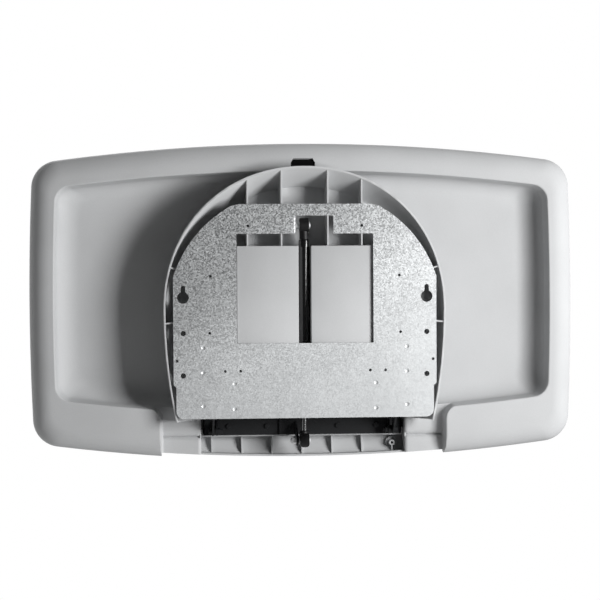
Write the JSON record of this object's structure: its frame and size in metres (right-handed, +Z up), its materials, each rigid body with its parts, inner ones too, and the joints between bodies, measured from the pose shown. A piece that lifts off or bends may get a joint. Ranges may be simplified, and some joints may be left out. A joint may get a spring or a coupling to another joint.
{
  "type": "baby changing station",
  "caption": "Wall-hung fold-down baby changing station, closed, with a moulded tray, D-shaped wall chassis, steel plate, hinge, gas spring and safety strap.",
  "frame": {"origin": "on the wall, on the centre line of the plate's rear face, level with the lower pair of wall bolts", "axes": "+X to the right as seen from the room, +Y into the wall, +Z up"},
  "size_m": [0.914, 0.102, 0.526],
  "materials": {
    "grey_plastic": "fine-grained moulded polyethylene",
    "galvanised_steel": "galvanised with a fine spangle",
    "black_steel": "black powder coat",
    "bright_steel": "zinc-plated",
    "black_plastic": "moulded nylon",
    "black_rubber": "matt",
    "webbing": "woven nylon"
  },
  "bodies": {
    "wall_unit": {"mounting_plate": "galvanised_steel", "wall_chassis": "grey_plastic", "hinge_bracket_right": "black_steel", "hinge_bracket_left": "black_steel", "hinge_bush_right": "black_plastic", "hinge_bush_left": "black_plastic", "liner_pocket_right": "grey_plastic", "liner_pocket_left": "grey_plastic", "chassis_screw_1": "black_steel", "chassis_screw_2": "black_steel", "chassis_screw_3": "black_steel", "chassis_screw_4": "black_steel", "chassis_screw_5": "black_steel", "chassis_screw_6": "black_steel", "upper_pivot_stud": "bright_steel", "upper_pivot_nut": "bright_steel", "upper_pivot_clip": "bright_steel"},
    "bed": {"bed_tray": "grey_plastic", "bed_cover": "grey_plastic", "rim_bumper": "black_rubber", "hinge_channel": "black_steel", "hinge_pin_right": "black_steel", "hinge_pin_left": "black_steel", "hinge_nut_right": "black_steel", "hinge_nut_left": "black_steel", "channel_screw_1": "black_steel", "channel_screw_2": "black_steel", "channel_screw_3": "black_steel", "channel_screw_4": "black_steel", "spring_lever": "black_steel", "lower_pivot_stud": "bright_steel", "lower_pivot_nut": "bright_steel", "lower_pivot_clip": "bright_steel", "strap_upper": "webbing", "strap_lower": "webbing", "strap_anchor_upper": "black_plastic", "strap_anchor_lower": "black_plastic", "strap_screw_1": "bright_steel", "strap_screw_2": "bright_steel", "strap_screw_3": "bright_steel", "strap_screw_4": "bright_steel", "buckle_socket": "black_plastic", "buckle_tongue": "black_plastic"},
    "gas_cylinder": {"spring_tube": "black_steel", "tube_end_fitting": "black_plastic", "rod_guide": "black_steel"},
    "gas_rod": {"spring_rod": "bright_steel", "piston": "black_plastic", "rod_end_fitting": "black_plastic"}
  },
  "joints": [
    {"name": "bed_fold", "type": "hinge", "parent": "wall_unit", "child": "bed", "pos_m": [0, -0.052, -0.0965], "axis": [1, 0, 0], "range_deg": [0, 90]},
    {"name": "spring_swing", "type": "hinge", "parent": "wall_unit", "child": "gas_cylinder", "pos_m": [0, -0.019, 0.2485], "axis": [-1, 0, 0], "range_deg": [0, 0.52]},
    {"name": "rod_slide", "type": "slide", "parent": "gas_cylinder", "child": "gas_rod", "axis": [0, 0.0443, 0.999], "range_m": [0, 0.0325]}
  ],
  "couplings": [
    {"joint": "spring_swing", "follows": "bed_fold", "ratio": 0.005697},
    {"joint": "rod_slide", "follows": "bed_fold", "m_per_rad": 0.020619}
  ]
}
